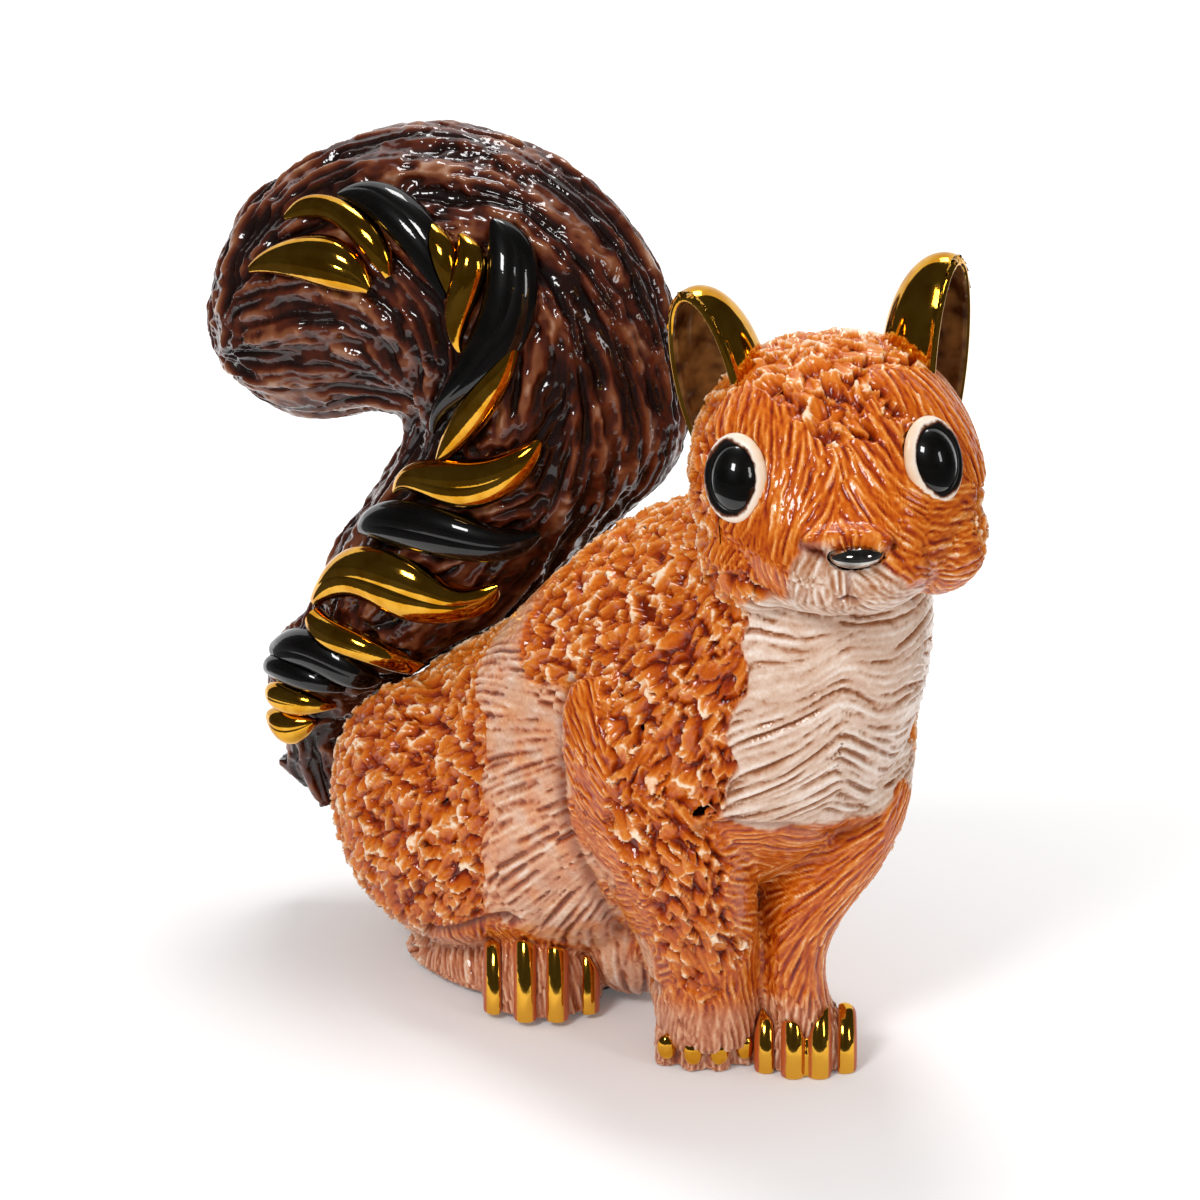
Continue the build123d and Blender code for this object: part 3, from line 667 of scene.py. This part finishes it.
orange_glaze = glazed_earthenware()
owner = nearest_nodes(skin, CLAY_NODES)
edges = numbers(skin.edges, "vertices", 2, np.int32)
owner = settled(owner, edges, len(CLAY_NODES))
places, first = face_places(skin, points)
PARTS = {"torso": ("torso_front", "torso_middle", "torso_back"), "head": ("head_face", "head_nape")}
for index, node in enumerate(CLAY_NODES):
    names = PARTS.get(node, (f"{node}_clay",))
    dress(skin, owner[first] == index, names, places[:, 1], node, orange_glaze)

# Tail, a slip casting of its own, luted on behind the haunches.
# Its fur is cut in long strands that flow up the stem and round the curl, under thick brown glaze.
# The strokes are in the photograph's pixels, along the strands.
TAIL_STROKES = [
    [(262, 205), (295, 168), (340, 142), (400, 128), (470, 126), (540, 150), (600, 190), (640, 240),
     (662, 290), (676, 345)],
    [(290, 210), (350, 182), (420, 158), (490, 162), (560, 205), (615, 265), (648, 340), (668, 415)],
    [(440, 205), (520, 212), (580, 258), (628, 325), (652, 395), (660, 450)],
    [(505, 228), (560, 272), (598, 322), (628, 385), (640, 440)], [(228, 285), (236, 240), (258, 205)],
    [(215, 330), (222, 290)],
    [(232, 302), (275, 290), (317, 290), (360, 305), (387, 325), (404, 360), (413, 397)],
    [(240, 335), (285, 318), (330, 318), (370, 345), (395, 385)],
    [(232, 352), (300, 352), (360, 368), (398, 395)], [(245, 378), (300, 384), (360, 388), (405, 402)],
    [(265, 403), (330, 412), (405, 410)],
    [(410, 285), (432, 305), (448, 343), (440, 385), (415, 430), (398, 458)],
    [(395, 285), (420, 320), (430, 365), (420, 410)], [(470, 300), (455, 380), (425, 430)],
    [(533, 297), (522, 350), (512, 400), (500, 443)], [(552, 300), (560, 340), (548, 400), (528, 440)],
    [(585, 345), (598, 400), (598, 450), (580, 500), (560, 540)],
    [(620, 385), (632, 440), (625, 490), (600, 530)], [(655, 420), (655, 460), (640, 490)],
    [(402, 440), (372, 480), (345, 525), (325, 565)], [(430, 450), (400, 490), (360, 520)],
    [(600, 480), (582, 540), (552, 590), (505, 632), (445, 670)],
    [(560, 480), (548, 535), (520, 580), (470, 625)], [(285, 662), (320, 672), (360, 692)],
    [(298, 700), (325, 708), (345, 718)], [(296, 742), (312, 775), (324, 808)], [(320, 740), (335, 730)],
    [(440, 440), (470, 455), (520, 440), (548, 410)], [(300, 610), (280, 640), (278, 660)],
    [(355, 505), (400, 512), (470, 520), (545, 505)],
]


def mirrored_strokes(strokes):
    """Strokes and their mirror images in the middle plane of the tail, which stands on its root."""
    root, turn = np.array((-11, 49, 0)), radians(30)
    across = np.array((cos(turn), sin(turn), 0))
    return strokes + [line - 2 * ((line - root) @ across)[:, None] * across for line in strokes]


tail_grain = 0.34 * mm
tail_skin = fused_skin("tail_skin", ["tail"], tail_grain, rounds=6)
tail_tree = tree_of(tail_skin)
points = numbers(tail_skin.vertices, "co", 3).astype(float) / mm
normals = numbers(tail_skin.vertices, "normal", 3).astype(float)
strokes = [np.array(seen_places(tail_tree, stroke)) for stroke in TAIL_STROKES]
flow, _ = tool_flow(points, normals, [mirrored_strokes([s for s in strokes if len(s) > 1])])
# Broad strands, and threads over them whose crests are sharp. Sizes and depth are in mm.
strand_share, crest_share, crest_width, strand_depth = 0.35, 0.65, 1.4, 1.5
strands = streaks(points, flow, normals, size=5.0, reach=12.0, seed=34)
threads = streaks(points, flow, normals, size=2.6, reach=10.0, seed=35)
crest = 1 - np.minimum(np.abs(threads) / crest_width, 1)
ridge = strand_share * step(strands, -1.3, 1.3) + crest_share * crest
ridge = evened(ridge, numbers(tail_skin.edges, "vertices", 2, np.int32), rounds=2)
points = carve(tail_skin, points, normals, luting / mm + strand_depth * (1 - ridge))
keep_values(tail_skin, ridge=ridge)


def brown_glazed_earthenware():
    """Clear brown glaze, near black where it pools in the cuts, pinkish where it runs thin."""
    material = new_material("brown_glaze_on_earthenware")
    ridge = add_node(material, "Attribute", {"attribute_name": "ridge"})
    place = add_node(material, "TexCoord").outputs["Object"]
    drift_share = 0.6
    drift = add_node(material, "TexNoise", {"Scale": 1 / (6 * mm), "Detail": 3.0}, Vector=place)
    grit = add_node(material, "TexNoise", {"Scale": 1 / (0.6 * mm), "Detail": 2.0}, Vector=place)
    height = add_node(
        material, "Math", {"operation": "MULTIPLY_ADD", 1: drift_share},
        _0=drift.outputs["Fac"], _2=ridge.outputs["Fac"],
    )
    thickness = add_node(material, "MapRange", {"From Max": 1.6}, Value=height.outputs[0])
    brown_breaks = [
        (0.15, "080100"), (0.42, "240902"), (0.58, "501c08"), (0.72, "804a2c"), (0.85, "be9a80")
    ]
    colour = add_node(material, "ValToRGB", {"stops": brown_breaks}, Fac=thickness.outputs[0])
    shine = {"Roughness": 0.5, "Specular IOR Level": 0.1, "Coat Weight": 1.0, "Coat Roughness": 0.04}
    return finish_wavy(material, colour.outputs[0], grit, strength=0.05, height=0.1 * mm, shine=shine)


brown_glaze = brown_glazed_earthenware()
places, _ = face_places(tail_skin, points)
whole = np.ones(len(places), bool)
dress(tail_skin, whole, ("tail_stem", "tail_curl"), places[:, 2], "tail", brown_glaze)

# Locks of fur laid on the tail, some glazed black, some fired with bright gold lustre.
# Each is a leaf of clay, pointed at its ends, pressed on along the flow of the strands.
def lustre(name, colours, roughness):
    """A bright metal film over glaze: mirror-smooth, with the slow waves of the clay under it."""
    material = new_material(name)
    place = add_node(material, "TexCoord").outputs["Object"]
    waves = add_node(material, "TexNoise", {"Scale": 1 / (2.5 * mm), "Detail": 1.0}, Vector=place)
    wear = add_node(material, "TexNoise", {"Scale": 1 / (3 * mm), "Detail": 2.0}, Vector=place)
    film = add_node(
        material, "ValToRGB", {"stops": [(0.35, colours[0]), (0.6, colours[1])]}, Fac=wear.outputs["Fac"]
    )
    shine = {"Metallic": 1.0, "Roughness": roughness}
    return finish_wavy(material, film.outputs[0], waves, strength=0.2, height=0.2 * mm, shine=shine)


gold_lustre = lustre("bright_gold_lustre", ("d08f1c", "e6ac3c"), roughness=0.08)


def gloss_glaze(name, colours, waviness):
    """A thick glaze that levels itself: colour in the body, and a wet clear surface."""
    material = new_material(name)
    place = add_node(material, "TexCoord").outputs["Object"]
    cloud = add_node(material, "TexNoise", {"Scale": 1 / (3 * mm), "Detail": 2.0}, Vector=place)
    colour = add_node(
        material, "ValToRGB", {"stops": [(0.35, colours[0]), (0.65, colours[1])]},
        Fac=cloud.outputs["Fac"],
    )
    shine = {"Roughness": 0.4, "Specular IOR Level": 0.1, "Coat Weight": 1.0, "Coat Roughness": 0.03}
    return finish_wavy(material, colour.outputs[0], cloud, strength=0.4, height=waviness, shine=shine)


black_glaze = gloss_glaze("black_glaze", ("020201", "090605"), waviness=0.12 * mm)


def repaint(node, material):
    """Gives a CAD node that stays as it is its own finish."""
    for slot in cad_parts[node].material_slots:
        slot.material = material


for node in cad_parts:
    if "lock" in node:
        repaint(node, gold_lustre if node.startswith("gold") else black_glaze)

# Ears, thin cups of clay on the crown, gold outside and over the rim, glossy brown inside.
# Their places follow the head's: its middle, its turn and its tilt in degrees, and its size.
head_middle, head_turn, head_tilt = (1.2 * mm, -45.4 * mm, 85 * mm), -34, -5
head_place = (
    Matrix.Translation(head_middle)
    @ Matrix.Rotation(radians(head_turn), 4, "Z") @ Matrix.Rotation(radians(head_tilt), 4, "Y")
)
head_size = (37.5 * mm, 43 * mm, 35 * mm)


def on_head(aside, ahead, up):
    """A place on the head, from its shares of the head's width, length and height."""
    width, length, height = head_size
    return head_place @ Matrix.Translation((aside * width, -ahead * length, up * height))


def finished(name, form, material, node):
    """Makes a bmesh a smooth piece that stands for a CAD node."""
    mesh = as_mesh(name, form)
    mesh.shade_smooth()
    mesh.materials.append(material)
    piece = placed(name, mesh)
    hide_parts(node)
    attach(piece, "root")
    return piece


# Width, depth and height. The lean is in degrees, and rim_corner, the least angle that is rounded,
# in radians.
ear_size, ear_wall = (13 * mm, 15 * mm, 27 * mm), 1.4 * mm
ear_lean, ear_open_share, rim_round, rim_corner = 8, 0.12, 0.6 * mm, 0.8
brown_lining = gloss_glaze("glossy_brown_glaze", ("3c1c08", "8c5c2e"), waviness=0.25 * mm)
# The way out from the head, the turn of the cup in degrees, and the ear's place on the head.
EARS = {"right": (-1, 54, (-0.365, -0.06, 0.350)), "left": (1, 60, (0.400, -0.06, 0.380))}
for side, (way, cup_turn, shares) in EARS.items():
    place = on_head(*shares) @ Matrix.Rotation(radians(way * ear_lean), 4, "Y")
    place = place @ Matrix.Rotation(radians(way * cup_turn), 4, "Z")
    ear = bmesh.new()
    bmesh.ops.create_uvsphere(ear, u_segments=64, v_segments=48, radius=0.5)
    bmesh.ops.scale(ear, vec=ear_size, verts=ear.verts)
    bmesh.ops.bisect_plane(
        ear, geom=ear.verts[:] + ear.edges[:] + ear.faces[:], clear_outer=True,
        plane_co=(0, -ear_open_share * ear_size[1], 0), plane_no=(0, -1, 0),
    )
    gold_faces = ear.faces[:]
    lining = bmesh.ops.duplicate(ear, geom=gold_faces)["geom"]
    inner_verts = [item for item in lining if isinstance(item, bmesh.types.BMVert)]
    inner_faces = [item for item in lining if isinstance(item, bmesh.types.BMFace)]
    bmesh.ops.scale(ear, verts=inner_verts, vec=[1 - 2 * ear_wall / size for size in ear_size])
    bmesh.ops.translate(ear, verts=inner_verts, vec=(0, -2 * ear_open_share * ear_wall, 0))
    bmesh.ops.reverse_faces(ear, faces=inner_faces)
    for face in inner_faces:
        face.material_index = 1
    rim = bmesh.ops.bridge_loops(ear, edges=[edge for edge in ear.edges if edge.is_boundary])
    for face in rim["faces"]:
        face.material_index = 0
    corners = {
        edge for face in rim["faces"] for edge in face.edges if edge.calc_face_angle(0) > rim_corner
    }
    bmesh.ops.bevel(
        ear, geom=list(corners), offset=rim_round, segments=4, profile=0.5, affect="EDGES", material=-1
    )
    bmesh.ops.recalc_face_normals(ear, faces=ear.faces)
    bmesh.ops.transform(ear, matrix=place, verts=ear.verts)
    piece = finished(f"ear_{side}_cup", ear, gold_lustre, f"ear_{side}")
    piece.data.materials.append(brown_lining)

# Eyes, balls of clay under thick black glaze, each in a rolled lid: a dull cream glaze over orange,
# that darkens to black towards the ball and most of all on its outer side.
def lid_glaze():
    material = new_material("cream_glaze_darkening_black")
    soot = add_node(material, "Attribute", {"attribute_name": "soot"})
    place = add_node(material, "TexCoord").outputs["Object"]
    blotch_share = 0.7
    blotches = add_node(material, "TexNoise", {"Scale": 1 / (1.5 * mm), "Detail": 3.0}, Vector=place)
    black = add_node(
        material, "Math", {"operation": "MULTIPLY_ADD", 1: blotch_share},
        _0=blotches.outputs["Fac"], _2=soot.outputs["Fac"],
    )
    thickness = add_node(material, "MapRange", {"From Max": 1.7}, Value=black.outputs[0])
    cream_to_black = [
        (0.0, "d8905c"), (0.08, "e6c3a0"), (0.42, "efe0d0"), (0.52, "6a3414"), (0.6, "0a0402")
    ]
    colour = add_node(material, "ValToRGB", {"stops": cream_to_black}, Fac=thickness.outputs[0])
    glaze = add_node(
        material, "BsdfPrincipled",
        {"Roughness": 0.55, "Specular IOR Level": 0.2, "Coat Weight": 0.3, "Coat Roughness": 0.15},
        Base_Color=colour.outputs[0],
    )
    return finish_material(material, glaze)


# Sizes of the ball and its lid, their turns and slope in degrees, and the black on the lid.
eye_width, eye_height, eye_turn, eye_lift = 7.0 * mm, 9.4 * mm, 27, -14
lid_roll, lid_spread, lid_ahead, lid_slope = 0.45 * mm, 1.7, 1.3 * mm, 35
darkening_round_ball, darkening_outer_side = 0.5, 0.35
cream_glaze = lid_glaze()
# The way out from the head, and the eye's place on it.
EYES = {"right": (-1, (-0.345, 0.315, 0.14)), "left": (1, (0.285, 0.345, 0.14))}
for side, (way, shares) in EYES.items():
    repaint(f"eye_{side}", black_glaze)
    place = on_head(*shares) @ Matrix.Rotation(radians(way * eye_turn), 4, "Z")
    place = place @ Matrix.Rotation(radians(eye_lift), 4, "X")
    lid = bmesh.new()
    bmesh.ops.create_circle(
        lid, segments=16, radius=lid_roll,
        matrix=Matrix.Translation((eye_width / 2, 0, 0))
        @ Matrix.Rotation(radians(lid_slope), 4, "Y")
        @ Matrix.Diagonal((lid_spread, 1, 1, 1)) @ Matrix.Rotation(pi / 2, 4, "X"),
    )
    bmesh.ops.spin(
        lid, geom=lid.verts[:] + lid.edges[:], cent=(0, 0, 0), axis=(0, 0, 1), angle=2 * pi,
        steps=64, use_merge=True,
    )
    soot = lid.verts.layers.float.new("soot")
    # The lid's colour darkens to black towards the ball and on its outer side, broken up by blotchy noise.
    for vert in lid.verts:
        out = (vert.co.xy.length - eye_width / 2) / (2 * lid_roll * lid_spread)
        vert[soot] = darkening_round_ball - out + darkening_outer_side * way * vert.co.x / vert.co.xy.length
    bmesh.ops.scale(lid, vec=(1, eye_height / eye_width, 1), verts=lid.verts)
    bmesh.ops.recalc_face_normals(lid, faces=lid.faces)
    bmesh.ops.transform(
        lid, matrix=place @ Matrix.Translation((0, -lid_ahead, 0)) @ Matrix.Rotation(pi / 2, 4, "X"),
        verts=lid.verts,
    )
    finished(f"eyelid_{side}_roll", lid, cream_glaze, f"eyelid_{side}")

# Nose, a small lens of clay pressed into the muzzle, under the hood of the snout.
# Platinum lustre is fired on it, and gives the eye a grey mirror with dark and pale patches.
platinum_lustre = lustre("platinum_lustre", ("8f8a86", "cfcac4"), roughness=0.1)
repaint("nose", platinum_lustre)

# Toes, rolls of clay over the feet, and the nails of the right forepaw. Gold is brushed along
# each toe and fired, and the clay between the toes keeps the orange glaze.
def gilded_toes(name, across):
    """Gold, but for the sides of the toes, which face along their row and keep the orange glaze."""
    material = new_material(name)
    faced = add_node(material, "NewGeometry").outputs["Normal"]
    turned = add_node(material, "VectorMath", {"operation": "DOT_PRODUCT", 1: (*across, 0)}, _0=faced)
    aside = add_node(material, "Math", {"operation": "ABSOLUTE"}, _0=turned.outputs["Value"])
    gilt = add_node(
        material, "MapRange", {"From Min": 0.72, "From Max": 0.62}, Value=aside.outputs[0]
    ).outputs[0]
    colour = add_node(
        material, "Mix",
        {"data_type": "RGBA", 6: hex_colour("b8501c"), 7: hex_colour("e6ac3c")}, Factor=gilt,
    )
    shine = add_node(material, "MapRange", {"To Min": 0.35, "To Max": 0.1}, Value=gilt)
    glaze = add_node(
        material, "BsdfPrincipled", {},
        Base_Color=colour.outputs[2], Metallic=gilt, Roughness=shine.outputs[0],
    )
    return finish_material(material, glaze)


toe_grain = 0.22 * mm
for node in ("hind_foot_right", "hind_foot_left", "forepaw_left", "forepaw_right"):
    rolls = run_together(f"{node}_toes", [f"{node}_claws"], toe_grain, rounds=25, grow=0)
    rolls.shade_smooth()
    # The toes stand in a row, along which their points spread most.
    row = np.cov(numbers(rolls.vertices, "co", 3)[:, :2].T)
    across = [float(part) for part in np.linalg.eigh(row)[1][:, 1]]
    all_gold = node == "forepaw_right"
    rolls.materials.append(gold_lustre if all_gold else gilded_toes(f"{node}_gilt", across))
    piece = placed(f"{node}_toes", rolls)
    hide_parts(f"{node}_claws")
    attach(piece, "root")

# Felt, a sheet of pressed wool glued under the seat over the vent, so that the glaze doesn't
# scratch a shelf. It gives the eye a dull dark grey, mottled by its fibres.
def wool_felt():
    material = new_material("grey_wool_felt")
    place = add_node(material, "TexCoord").outputs["Object"]
    fibres = add_node(
        material, "TexNoise", {"Scale": 1 / (0.3 * mm), "Detail": 6.0, "Roughness": 0.7}, Vector=place
    )
    colour = add_node(
        material, "ValToRGB", {"stops": [(0.35, "2b2b29"), (0.7, "55534f")]}, Fac=fibres.outputs["Fac"]
    )
    dull = {"Roughness": 0.95, "Sheen Weight": 0.4}
    return finish_wavy(material, colour.outputs[0], fibres, strength=0.8, height=0.15 * mm, shine=dull)


repaint("base_felt", wool_felt())

# Studio: a white table and background, and soft boxes at plain levels.
# The white comes from the colours, and the light on the object stays plain.
def seen_white(owner, least, most):
    """A level that the camera, mirrors and glass see at its most, and the rest at its least."""
    rays = add_node(owner, "LightPath").outputs
    seen = rays["Is Camera Ray"]
    for kind in ("Is Glossy Ray", "Is Transmission Ray"):
        both = add_node(owner, "Math", {"operation": "MAXIMUM"}, _0=seen, _1=rays[kind])
        seen = both.outputs[0]
    level = add_node(owner, "MapRange", {"To Min": least, "To Max": most}, Value=seen)
    return level.outputs[0]


def white_paper():
    """Matt paper that keeps the figure's shadow, and glows whiter the further out it lies."""
    material = new_material("matt_white_paper")
    place = add_node(material, "TexCoord").outputs["Object"]
    away = add_node(material, "VectorMath", {"operation": "LENGTH"}, _0=place)
    growth = add_node(
        material, "MapRange",
        {"From Min": 0.04, "From Max": 0.3, "To Min": 0.15},
        Value=away.outputs["Value"],
    )
    level = add_node(
        material, "Math", {"operation": "MULTIPLY"},
        _0=growth.outputs[0], _1=seen_white(material, least=0, most=0.5),
    )
    paper = add_node(material, "BsdfDiffuse", {"Color": hex_colour("f2f2f2")})
    glow = add_node(material, "Emission", {"Color": (1, 1, 1, 1)}, Strength=level.outputs[0])
    both = add_node(material, "AddShader", {}, _0=paper.outputs[0], _1=glow.outputs[0])
    return finish_material(material, both)


table_side = 6
sheet = bmesh.new()
bmesh.ops.create_grid(sheet, x_segments=1, y_segments=1, size=table_side / 2)
table_top = as_mesh("table", sheet)
table_top.materials.append(white_paper())
placed("table", table_top)

world = bpy.data.worlds.new("white_studio")
bpy.context.scene.world = world
world.use_nodes = True
world.node_tree.nodes.clear()
backdrop = add_node(
    world, "Background", {"Color": (1, 1, 1, 1)}, Strength=seen_white(world, least=0.5, most=1)
)
add_node(world, "OutputWorld", Surface=backdrop.outputs[0])


figure_middle = Vector((0, 0, 50 * mm))


def soft_box(name, place, size, watts):
    """A soft box aimed at the middle of the figure: its place and size in metres, and its watts."""
    lamp = bpy.data.lights.new(name, "AREA")
    lamp.shape = "RECTANGLE"
    lamp.size, lamp.size_y = size
    lamp.energy = watts
    holder = placed(name, lamp)
    holder.location = place
    aim = figure_middle - Vector(place)
    holder.rotation_euler = aim.to_track_quat("-Z", "Y").to_euler()


soft_box("key_box", (-0.75, -0.35, 0.65), (0.24, 0.24), 4.4)
soft_box("front_box", (0.15, -0.95, 0.40), (0.16, 0.32), 1.3)
soft_box("top_box", (0.15, 0.20, 0.95), (0.28, 0.28), 3.8)


# Dark cloth on the floor before the figure, round it and over it, which only shiny surfaces see:
# it keeps the darks in the glazes and the gold. The white backdrop stays open behind the figure.
def dark_cloth():
    material = new_material("matt_dark_cloth")
    cloth = add_node(material, "BsdfDiffuse", {"Color": hex_colour("4a4a4a")})
    return finish_material(material, cloth)


# The cloth as it lies, out from the figure and up, in metres: over the floor, up the curtain and
# across the roof. It reaches this far round the figure, in degrees.
CLOTH_LINE = [(0.13, 0.001), (1.3, 0.001), (1.3, 1.25), (0.02, 1.25)]
cloth_reach, camera_bearing = 250, camera_turn - 90
drape = bmesh.new()
hung = [drape.verts.new((out, 0, up)) for out, up in CLOTH_LINE]
for pair in zip(hung, hung[1:]):
    drape.edges.new(pair)
bmesh.ops.spin(
    drape, geom=drape.verts[:] + drape.edges[:], cent=(0, 0, 0), axis=(0, 0, 1),
    angle=radians(cloth_reach), steps=48,
)
start = Matrix.Rotation(radians(camera_bearing - cloth_reach / 2), 4, "Z")
bmesh.ops.transform(drape, matrix=start, verts=drape.verts)
drape_mesh = as_mesh("dark_cloth", drape)
drape_mesh.materials.append(dark_cloth())
cloth = placed("dark_cloth", drape_mesh)
cloth.visible_camera = False
cloth.visible_diffuse = False
cloth.visible_shadow = False
cloth.visible_transmission = False
